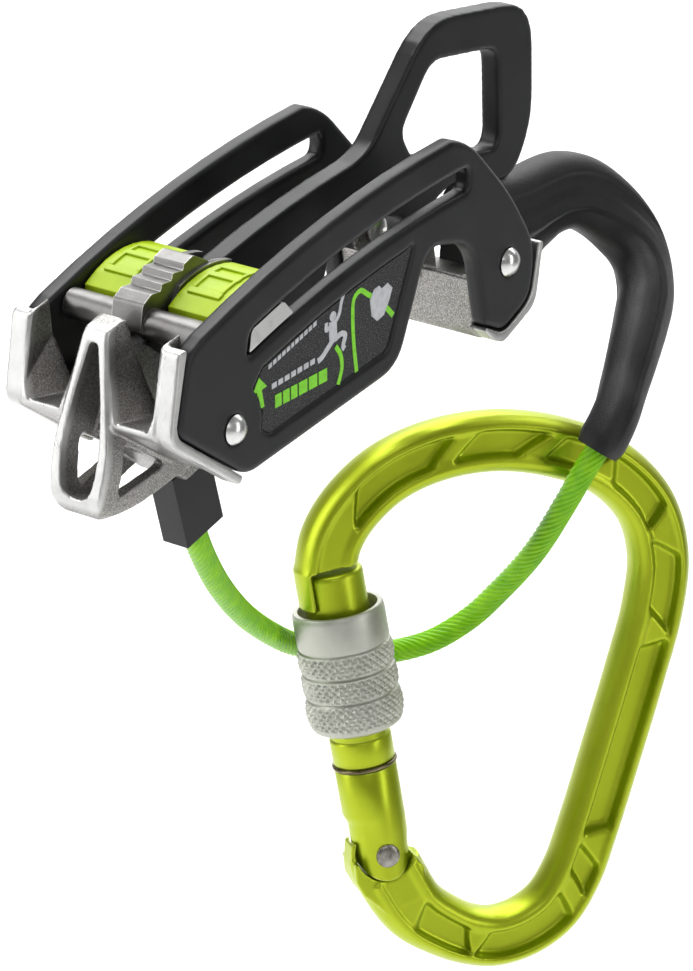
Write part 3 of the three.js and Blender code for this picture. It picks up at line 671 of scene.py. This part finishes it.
# Forged pockets, in mm along the bar from its pivot end: start, end, depth, slant of the ends.
POCKETS = (
    (10.0, 23.0, 1.8, 0.5),
    (25.5, 46.0, 2.2, -0.5),
    (49.5, 57.0, 1.8, -0.7),
    (60.5, 101.5, 2.3, 0.5),
    (105.5, 122.0, 2.0, -0.8),
    (126.5, 141.5, 2.2, 0.6),
    (144.5, 155.5, 1.8, -0.7),
    (159.0, 174.0, 2.3, -1.2),
    (178.0, 199.5, 2.2, -1.2),
)


def in_carabiner_plane(x, y, z=0.0, lean=0.0):
    """A point of the carabiner's plane, in mm, as a point of the row; lean tilts it to the gate's axis."""
    x, y = x * math.cos(lean) - y * math.sin(lean), x * math.sin(lean) + y * math.cos(lean)
    return GATE_PIVOT + (CARABINER_RIGHT * x + Vector((0, 0, y)) + CARABINER_OUT * z) * MM


def place_in_carabiner(obj, lean=0.0):
    """Moves a mesh drawn in the carabiner's plane, in mm, to its place in the row."""
    for vertex in obj.data.vertices:
        vertex.co = in_carabiner_plane(*vertex.co, lean=lean)
    obj.data.update()
    return obj


def pocket_depth(along, across):
    """How deep the forged pockets are at a place on the bar; their ends slope over 1.5 mm."""
    depth = 0.0
    for start, end, deep, slant in POCKETS:
        place = along + slant * across
        rising = smoothstep(place, start, start + 1.5)
        falling = 1 - smoothstep(place, end - 1.5, end)
        depth = max(depth, deep * rising * falling)
    return depth


def body_section(along):
    """Half of the bar's outline, outer edge to inner edge, as (across, height) points."""
    rail = (
        (-6.1, 0), (-6.02, 1.3), (-5.65, 2.7), (-5.0, 3.9),
        (-4.3, 4.75), (-3.9, 5.0), (-3.5, 5.05),
    )
    web = [-3.15 + 5.45 * k / 13 for k in range(14)]
    bearing = (
        (2.7, 5.0), (3.3, 5.15), (4.1, 4.85), (4.9, 4.1),
        (5.5, 3.1), (5.9, 1.9), (6.07, 0.9), (6.1, 0),
    )
    points = list(rail)
    for across in web:
        wall = smoothstep(across, -3.3, -2.6) * (1 - smoothstep(across, 1.8, 2.5))
        points.append((across, 5.05 - wall * (0.5 + pocket_depth(along, across))))
    points.extend(bearing)
    return points


def solid_box(name, size, centre, lean=0.0):
    """A box in the carabiner's plane, or tilted to the gate's axis by lean."""
    corners = [Vector((x, y, z)) for x in (-0.5, 0.5) for y in (-0.5, 0.5) for z in (-0.5, 0.5)]
    verts = [Vector(centre) + Vector((c.x * size[0], c.y * size[1], c.z * size[2])) for c in corners]
    faces = [(0, 1, 3, 2), (4, 6, 7, 5), (0, 4, 5, 1), (2, 3, 7, 6), (0, 2, 6, 4), (1, 5, 7, 3)]
    return place_in_carabiner(mesh_object(name, verts, faces, smooth=False), lean)


def solid_round(name, profile, sides=40, lean=0.0, axis="Y"):
    """A closed solid of revolution from (radius, along) points, its ends on the axis."""
    rings = []
    for radius, along in profile:
        ring = []
        for j in range(sides):
            angle = 2 * math.pi * j / sides
            c, d = radius * math.cos(angle), radius * math.sin(angle)
            ring.append(Vector((c, along, d)) if axis == "Y" else Vector((c, d, along)))
        rings.append(ring)
    return place_in_carabiner(loft(name, rings), lean)


def boolean(obj, other, operation):
    """Joins, cuts or trims obj with other at once, and removes other."""
    modifier = obj.modifiers.new(operation, "BOOLEAN")
    modifier.operation = operation
    modifier.object = other
    modifier.solver = "EXACT"
    depsgraph = bpy.context.evaluated_depsgraph_get()
    shaped = bpy.data.meshes.new_from_object(obj.evaluated_get(depsgraph))
    obj.modifiers.clear()
    obj.data = shaped
    bpy.data.objects.remove(other)


# Outlines in the carabiner's plane of the thin wall beside the hinge and of the seat under it.
HINGE_WALL = (
    (-6.3, 1.0), (-6.65, 0.4), (-6.6, -0.6), (-6.2, -3.8),
    (-5.1, -6.6), (-3.6, -8.9), (3.0, -8.0), (-3.0, 1.0),
)
HINGE_SEAT = (
    (-6.1, -2.8), (-5.1, -6.6), (-3.4, -8.9), (2.0, -12.5),
    (10.0, -8.0), (8.4, -2.2), (5.6, 0.4), (0.0, -2.0),
)
HINGE_WALL_HALF = 2.7                    # half thicknesses, mm
HINGE_SEAT_HALF = 4.6
TANG_HALF = 2.2
TANG_R = 3.4
GATE_END_R = 5.45                        # the gate's slimmer end around its pivot
HINGE_REACH = GATE_END_R + 0.25          # room cut in the body for that end
RIVET_BORE_R = 1.9                       # the rivet's hole through the tang
NOSE_GAP = 0.9                           # between the nose and the top of the gate
NOSE_SHELL = (GATE_R + 0.3, GATE_R + 1.2, 40)   # inner and outer radius, half angle in degrees


def solid_plate(name, outline, half_height, lean=0.0):
    """A flat solid from an outline in the carabiner's plane."""
    count = len(outline)
    verts = [Vector((x, y, z)) for z in (-half_height, half_height) for x, y in outline]
    faces = [tuple(reversed(range(count))), tuple(range(count, 2 * count))]
    faces += [(k, (k + 1) % count, count + (k + 1) % count, count + k) for k in range(count)]
    return place_in_carabiner(mesh_object(name, verts, faces, smooth=False), lean)


def nose_shell():
    """The thin wall that runs from the nose down the outer side of the gate's head."""
    inner, outer, half_angle = NOSE_SHELL
    rings = []
    for height, trim, shift in ((52.2, 0.35, 0), (52.6, 0, 0), (60.3, 0, 0), (61.6, 0, 0.8), (63.2, 0, 2.0)):
        ring = []
        for radius, sweep in ((outer - trim - shift, 1), (inner - shift, -1)):
            for k in range(13):
                angle = math.radians(180 + sweep * half_angle * (k / 6 - 1))
                ring.append(Vector((radius * math.cos(angle), height, radius * math.sin(angle))))
        rings.append(ring)
    return place_in_carabiner(loft("nose_shell", rings), GATE_LEAN)


def gate_profile():
    """The gate's outline from its pivot end up, as (radius outside, radius inside, height)."""
    profile = [
        (ON_AXIS, ON_AXIS, -7.0),
        (GATE_END_R, GATE_END_R, -7.0),
        (GATE_END_R, GATE_END_R + 0.35, 1.0),
        (GATE_END_R, GATE_R - 0.15, 3.0),
        (GATE_END_R, GATE_R, 6.4),
        (GATE_END_R + 0.15, GATE_R, 6.9),
        (GATE_R - 0.15, GATE_R, 8.0),
        (GATE_R, GATE_R, 8.5),
    ]
    ring_groove = [
        (0, RING_AT - 0.75), (0.12, RING_AT - 0.6), (0.5, RING_AT - 0.55),
        (0.5, RING_AT + 0.55), (0.12, RING_AT + 0.6), (0, RING_AT + 0.75),
    ]
    sleeve_groove = [(0, 23.9), (0.1, 24.2), (0.45, 24.5), (0.45, 25.4), (0.1, 25.7), (0, 26.0)]
    for inset, height in ring_groove + sleeve_groove:
        profile.append((GATE_R - inset, GATE_R - inset, height))
    corner = 1.1
    for a in range(0, 91, 15):
        radius = GATE_R - corner + corner * math.cos(math.radians(a))
        profile.append((radius, radius, GATE_TOP - corner + corner * math.sin(math.radians(a))))
    profile.append((ON_AXIS, ON_AXIS, GATE_TOP))
    return profile


def gate_tube():
    """The gate: a turned tube, its lower end rounded about the rivet and slotted for the tang."""
    sides = 72
    rings = []
    for outer_radius, inner_radius, height in gate_profile():
        ring = []
        for j in range(sides):
            angle = 2 * math.pi * j / sides
            facing_out = smoothstep(-math.cos(angle), -0.1, 0.5)
            radius = inner_radius + (outer_radius - inner_radius) * facing_out
            ring.append(Vector((radius * math.cos(angle), height, radius * math.sin(angle))))
        rings.append(ring)
    tube = place_in_carabiner(loft("gate_tube", rings), GATE_LEAN)
    turns = [math.radians(a) for a in range(180, 361, 10)]
    round_end = [(GATE_END_R * math.cos(turn), GATE_END_R * math.sin(turn)) for turn in turns]
    clear = GATE_R + 1
    round_end += [(clear, 2.5), (clear, GATE_TOP + 2), (-clear, GATE_TOP + 2), (-clear, 2.5)]
    boolean(tube, solid_plate("end", round_end, clear, GATE_LEAN), "INTERSECT")
    boolean(tube, solid_box("slot", (9.5, 12.0, 4.9), (1.2, -3.6, 0), GATE_LEAN), "DIFFERENCE")
    for face in (-1, 1):
        seat = [(ON_AXIS, 3.6), (2.05, 3.6), (2.05, 8.0), (ON_AXIS, 8.0)]
        seat = [(radius, face * along) for radius, along in seat]
        boolean(tube, solid_round("rivet_seat", seat, axis="Z", sides=32), "DIFFERENCE")
    smooth_by_angle(tube, 40)
    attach(tube, "gate")
    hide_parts("gate")
    dress(tube, "lime_alloy")


def forged_bar():
    """The bar swept along its route; its outer rail widens towards the pivot end."""
    steps = 480
    path = catmull(BODY_ROUTE, steps)
    length = path_length(path)
    rings = []
    for i, point in enumerate(path):
        tangent = (path[min(i + 1, steps)] - path[max(i - 1, 0)]).normalized()
        inward = Vector((-tangent.y, tangent.x, 0))
        half = body_section(length * i / steps)
        widening = 1 + 0.32 * (1 - smoothstep(length * i / steps, 0, 26))
        half = [(across * widening if across < 0 else across, height) for across, height in half]
        ring = [point + inward * across + Vector((0, 0, height)) for across, height in half]
        ring += [point + inward * across - Vector((0, 0, height)) for across, height in reversed(half[1:-1])]
        rings.append(ring)
    return place_in_carabiner(loft("forged_carabiner", rings))


def carabiner_body():
    """The forged bar with the hinge, the room for the gate, the nose and the rivet's hole."""
    body = forged_bar()
    boolean(body, solid_plate("wall", HINGE_WALL, HINGE_WALL_HALF), "UNION")
    boolean(body, solid_plate("seat", HINGE_SEAT, HINGE_SEAT_HALF), "UNION")
    reach = HINGE_REACH
    bore = [(ON_AXIS, -1.0), (reach - 0.1, -1.0), (reach, 0.5), (reach, 20), (ON_AXIS, 20)]
    boolean(body, solid_round("bore", bore, lean=GATE_LEAN), "DIFFERENCE")
    saddle = [(ON_AXIS, 6.7), (reach + 0.06, 6.7), (reach + 0.06, -6.7), (ON_AXIS, -6.7)]
    boolean(body, solid_round("saddle", saddle, sides=50, axis="Z"), "DIFFERENCE")
    mouth = solid_box("mouth", (26, 20, 14), (1, GATE_TOP + NOSE_GAP - 10, 0), GATE_LEAN)
    boolean(body, mouth, "DIFFERENCE")
    tang = [(ON_AXIS, -TANG_HALF), (TANG_R, -TANG_HALF), (TANG_R, TANG_HALF), (ON_AXIS, TANG_HALF)]
    boolean(body, solid_round("tang", tang, axis="Z"), "UNION")
    boolean(body, solid_box("neck", (7.6, 9, 4.3), (3.4, -5.3, 0)), "UNION")
    boolean(body, nose_shell(), "UNION")
    hole = [(ON_AXIS, -6), (RIVET_BORE_R, -6), (RIVET_BORE_R, 6), (ON_AXIS, 6)]
    boolean(body, solid_round("hole", hole, axis="Z", sides=24), "DIFFERENCE")
    soften(body, 0.30, 4)
    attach(body, "carabiner")
    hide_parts("carabiner_body")
    dress(body, "lime_alloy")


# ---------- screw sleeve ----------
SLEEVE_BOTTOM = 26.6                     # up the gate, mm
SLEEVE_R = 9.25                          # between the bands
KNURLED_BANDS = ((1.3, 6.7), (7.4, 11.9), (12.6, 16.9))   # above the sleeve's bottom
DIAMONDS = 38                            # around the sleeve
DIAMOND_RISE = 1.6                       # height of one diamond, mm


def zigzag(value):
    """Rises from 0 to 1 and falls back once per unit."""
    return 1 - abs(2 * (value % 1.0) - 1)


def screw_sleeve():
    """The turned sleeve with its three diamond-knurled bands and its bore."""
    sides, spacing = ((280, 0.18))
    outer = [(8.3, 0.0), (8.9, 0.35), (SLEEVE_R, 1.0)]
    for low, high in KNURLED_BANDS:
        count = round((high - low) / spacing)
        swell = 0.35 if low < 2 else 0.2
        for k in range(count + 1):
            t = k / count
            outer.append((SLEEVE_R + swell * math.sin(math.pi * t), low + (high - low) * t))
        outer.append((8.95, high + 0.3))
    outer += [(9.1, 17.6), (9.2, 18.0), (9.2, 20.5), (9.2, 23.6), (9.05, 24.4), (8.8, 24.8)]
    inner = [(8.0, 24.8), (7.9, 24.5), (7.9, 2.0), (7.9, 1.8), (6.6, 1.8), (6.6, 0.0)]
    rings = []
    for radius, height in outer + inner:
        band = None
        for low, high in KNURLED_BANDS:
            if low <= height <= high and radius > SLEEVE_R - 0.05:
                band = (low, high)
        ring = []
        for j in range(sides):
            turn = j / sides
            grown = radius
            if band:
                fade = smoothstep(height, band[0], band[0] + 0.5)
                fade *= 1 - smoothstep(height, band[1] - 0.5, band[1])
                around, up = DIAMONDS * turn, height / DIAMOND_RISE
                diamond = min(zigzag(around + up), zigzag(around - up))
                grown += fade * (0.55 * diamond - 0.24)
            angle = 2 * math.pi * turn
            ring.append(Vector((grown * math.cos(angle), SLEEVE_BOTTOM + height, grown * math.sin(angle))))
        rings.append(ring)
    rings.append([v.copy() for v in rings[0]])
    sleeve = place_in_carabiner(loft("knurled_sleeve", rings, closed_ends=False), GATE_LEAN)
    work = bmesh.new()
    work.from_mesh(sleeve.data)
    bmesh.ops.remove_doubles(work, verts=work.verts, dist=1e-7)
    bmesh.ops.recalc_face_normals(work, faces=work.faces)
    work.to_mesh(sleeve.data)
    work.free()
    smooth_by_angle(sleeve, 32)
    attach(sleeve, "screw_sleeve")
    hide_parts("screw_sleeve")
    dress(sleeve, "grey_alloy")


# ---------- label graphics, all generic ----------
def ink(name, color):
    """A printed colour with a slight mottle."""
    look = Look(name, color, 0.55)
    look.bump(look.noise(3000, detail=2), 0.00003, 0.4)
    cloud = look.noise(700, detail=2)
    dim = tuple(channel * 0.8 for channel in color)
    look.color(look.ramp(cloud, [(0.3, dim), (0.6, color)]))
    return look.material


GREEN_INK = ink("green_ink", (0.22, 0.70, 0.02))
SILVER_INK = ink("silver_ink", (0.55, 0.56, 0.58))
# The plate's outer face, the label's recess, the glue under it and its own thickness, mm.
PLATE_OUT = 18.9
LABEL_FACE = PLATE_OUT - 0.9 + 0.05 + 0.5
PRINT_STEP = 0.002                       # each shape stands this much higher than the one before


def printed(name, outlines, side, material, thickness=0.06):
    """Thin printed shapes on a label; each outline is a list of (x, z) in the plate frame."""
    verts, faces = [], []
    for number, shape in enumerate(outlines):
        base = len(verts)
        count = len(shape)
        for lift in (0.01, 0.01 + thickness + PRINT_STEP * number):
            verts.extend(at(x, side * (LABEL_FACE + lift), z) for x, z in shape)
        faces.append(tuple(base + k for k in range(count)))
        faces.append(tuple(base + count + k for k in reversed(range(count))))
        for k in range(count):
            after = (k + 1) % count
            faces.append((base + k, base + after, base + count + after, base + count + k))
    mark = mesh_object(name, verts, faces, smooth=False)
    mark.data.materials.append(material)
    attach(mark, "device")
    return mark


def stroke(points, width):
    """The outline of a line of constant width through points, smoothed."""
    path = catmull([Vector((x, 0, z)) for x, z in points], 26)
    left, right = [], []
    for i, point in enumerate(path):
        along = (path[min(i + 1, len(path) - 1)] - path[max(i - 1, 0)]).normalized()
        normal = Vector((-along.z, 0, along.x)) * width / 2
        left.append((point.x + normal.x, point.z + normal.z))
        right.append((point.x - normal.x, point.z - normal.z))
    return left + right[::-1]


def bar(start, end, height, slope=0.0):
    """A slanted block that stands in for a line of print."""
    (x0, z0), (x1, z1) = start, end
    return [(x0, z0), (x1, z1), (x1 + slope, z1 + height), (x0 + slope, z0 + height)]


def disc(x, z, radius):
    """The outline of a round dot."""
    turns = [a * math.pi / 8 for a in range(16)]
    return [(x + radius * math.cos(turn), z + radius * math.sin(turn)) for turn in turns]


def print_row(start, end, widths, height, slope, gap):
    """A row of blocks of varying widths from start to end."""
    total = sum(widths) + gap * (len(widths) - 1)
    (x0, z0), (x1, z1) = start, end
    shapes, place = [], 0.0
    for width in widths:
        low, high = place / total, (place + width) / total
        left = (x0 + (x1 - x0) * low, z0 + (z1 - z0) * low)
        right = (x0 + (x1 - x0) * high, z0 + (z1 - z0) * high)
        shapes.append(bar(left, right, height, slope))
        place += width + gap
    return shapes


def label_graphics(side, hand):
    """An arrow, ropes, a climber, a glove and rows of blocks where the photo has print."""
    arrow = [(25.7, 3.0), (24.2, 6.1), (25.6, 6.7), (22.9, 8.4), (21.7, 5.4), (22.9, 5.7), (24.4, 2.6)]
    upper_rope = stroke([
        (52.4, 7.4), (50.4, 12.5), (48.8, 17.8), (48.4, 21.2),
        (50.0, 22.6), (52.4, 21.8), (54.9, 20.9),
    ], 1.0)
    rope_tail = stroke([(57.0, 19.9), (59.0, 18.9), (61.4, 17.4)], 1.1)
    climber_rope = stroke([(44.8, 12.6), (46.6, 11.0), (47.6, 8.6), (47.2, 5.4)], 1.0)
    name_blocks = print_row((29.0, 2.4), (43.6, 6.4), (1.8, 1.8, 1.8, 2.4, 2.4, 2.4), 2.4, -0.6, 0.45)
    green = [arrow, upper_rope, rope_tail, climber_rope, *name_blocks]
    printed(f"label_green_{hand}", green, side, GREEN_INK)
    figure = [
        disc(42.6, 18.3, 0.95),
        stroke([(42.8, 17.4), (43.3, 15.4), (43.9, 13.4)], 2.3),
        stroke([(43.4, 16.9), (44.4, 18.6), (44.6, 20.8), (44.9, 22.2)], 0.85),
        stroke([(42.4, 16.6), (41.2, 15.8), (40.9, 17.2)], 0.85),
        stroke([(43.6, 13.9), (42.0, 12.0), (40.9, 10.8), (39.9, 10.2)], 1.15),
        stroke([(44.2, 14.0), (46.0, 14.9), (47.2, 14.6), (47.0, 12.6), (47.6, 12.0)], 1.1),
    ]
    glove = [
        (53.4, 20.6), (54.6, 17.6), (56.6, 16.6), (58.4, 17.6), (59.4, 20.2),
        (59.9, 22.6), (58.2, 23.6), (56.6, 22.6), (55.6, 23.2), (54.2, 22.6),
    ]
    long_row = [1.1] * 5 + [0.9] + [1.1] * 5
    line_one = print_row((25.4, 9.7), (37.9, 17.0), long_row, 0.85, -0.2, 0.45)
    line_two = print_row((27.2, 6.0), (39.0, 9.9), [1.3] * 7, 1.0, -0.25, 0.5)
    silver = [*figure, glove, *line_one, *line_two]
    printed(f"label_silver_{hand}", silver, side, SILVER_INK, thickness=0.09)


# ---------- brake inserts ----------
DOME_X, DOME_Z, DOME_R = 28.5, 5.1, 20.8   # the inserts' crown, a round about this axis
BAR_LIFT = 0.42                          # how far the raised bars stand above it
BAR_STEPS = 6


def raised_bar(verts, faces, side, angles, span):
    """Adds one raised bar that follows the crown between two angles, over a span of widths."""
    base = len(verts)
    for k in range(BAR_STEPS + 1):
        angle = math.radians(angles[0] + (angles[1] - angles[0]) * k / BAR_STEPS)
        for radius, taper in ((DOME_R - 0.4, 0.0), (DOME_R + BAR_LIFT, 0.12)):
            x = DOME_X + radius * math.cos(angle)
            z = DOME_Z + radius * math.sin(angle)
            verts.append(at(x, side * (span[0] + taper), z))
            verts.append(at(x, side * (span[1] - taper), z))
    for k in range(BAR_STEPS):
        a, b = base + 4 * k, base + 4 * (k + 1)
        faces.append((a, b, b + 1, a + 1))
        faces.append((a + 2, a + 3, b + 3, b + 2))
        faces.append((a, a + 2, b + 2, b))
        faces.append((a + 1, b + 1, b + 3, a + 3))
    faces.append((base, base + 1, base + 3, base + 2))
    end = base + 4 * BAR_STEPS
    faces.append((end, end + 2, end + 3, end + 1))


def brake_insert(side, hand):
    """The lime insert: a crowned block with raised bars on its back."""
    soften(frame["nodes"][f"brake_insert_{hand}"], 0.22, 3)
    verts, faces = [], []
    for angles in ((98, 103), (109, 113), (124, 128)):
        raised_bar(verts, faces, side, angles, (5.8, 13.2))
    for middle in (6.4, 12.6):
        raised_bar(verts, faces, side, (103, 124), (middle - 0.45, middle + 0.45))
    marks = mesh_object(f"insert_bars_{hand}", verts, faces, smooth=False)
    bevel = marks.modifiers.new("edges", "BEVEL")
    bevel.width = 0.15 * MM
    bevel.segments = 2
    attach(marks, "slider")
    dress(marks, "lime_plastic")


keeper_cable([rubber_sleeve(), "cable_ferrule"])
dress_frame()
soften_frame()
carabiner_body()
gate_tube()
screw_sleeve()
for plate_side, plate_hand in ((-1, "right"), (1, "left")):
    label_graphics(plate_side, plate_hand)
    brake_insert(plate_side, plate_hand)


# ---------- stage ----------
FLOOR_HALF = 6.0                         # metres
FLOOR_AT = -0.42
WALL_TOP = 3.0


def studio():
    """A white floor that curves up into a wall behind the part."""
    verts, faces = [], []
    away = Vector((-CAMERA_BACK.x, -CAMERA_BACK.y, 0)).normalized()
    side = Vector((-away.y, away.x, 0))
    curve = [(-3.0, 0.0), (1.2, 0.0)]
    for a in range(1, 13):
        turn = a * math.pi / 24
        curve.append((1.2 + 1.0 * math.sin(turn), 1.0 - math.cos(turn)))
    curve.append((2.2, WALL_TOP))
    for distance, height in curve:
        for reach in (-FLOOR_HALF, FLOOR_HALF):
            verts.append(away * distance + side * reach + Vector((0, 0, FLOOR_AT + height)))
    for i in range(len(curve) - 1):
        faces.append((2 * i, 2 * i + 1, 2 * i + 3, 2 * i + 2))
    mesh = bpy.data.meshes.new("floor")
    mesh.from_pydata([tuple(v) for v in verts], [], faces)
    floor = bpy.data.objects.new("floor", mesh)
    bpy.context.collection.objects.link(floor)
    for polygon in mesh.polygons:
        polygon.use_smooth = True
    paper = Look("paper", (0.92, 0.92, 0.92), 0.9)
    paper.bump(paper.noise(40), 0.0004, 0.2)
    floor.data.materials.append(paper.material)


def area_light(name, place, target, size, power):
    """A white soft box, its size in metres and its power in watts, that faces target."""
    data = bpy.data.lights.new(name, "AREA")
    data.shape = "RECTANGLE"
    data.size, data.size_y = size
    data.energy = power
    light = bpy.data.objects.new(name, data)
    bpy.context.collection.objects.link(light)
    aim = (Vector(target) - Vector(place)).to_track_quat("-Z", "Y")
    light.matrix_world = Matrix.Translation(place) @ aim.to_matrix().to_4x4()


def lights():
    """Five soft boxes and a dim white world."""
    middle = (-0.01, -0.01, -0.08)
    area_light("top_box", (-0.15, 0.25, 0.9), middle, (0.6, 0.6), 8)
    area_light("left_strip", (-0.75, 0.65, 0.15), middle, (0.22, 1.0), 4.5)
    area_light("right_strip", (0.05, -1.0, 0.25), middle, (0.25, 1.0), 3.0)
    area_light("front_fill", (-1.3, -0.9, 0.7), middle, (0.6, 0.5), 2.6)
    area_light("backdrop_box", (1.2, 0.8, 1.4), (1.5, 1.1, -0.42), (2.4, 2.4), 60)
    world = bpy.data.worlds.new("world")
    bpy.context.scene.world = world
    world.use_nodes = True
    background = world.node_tree.nodes["Background"]
    background.inputs["Color"].default_value = (1, 1, 1, 1)
    background.inputs["Strength"].default_value = 0.22
    bpy.context.scene.view_settings.view_transform = "Standard"


studio()
lights()
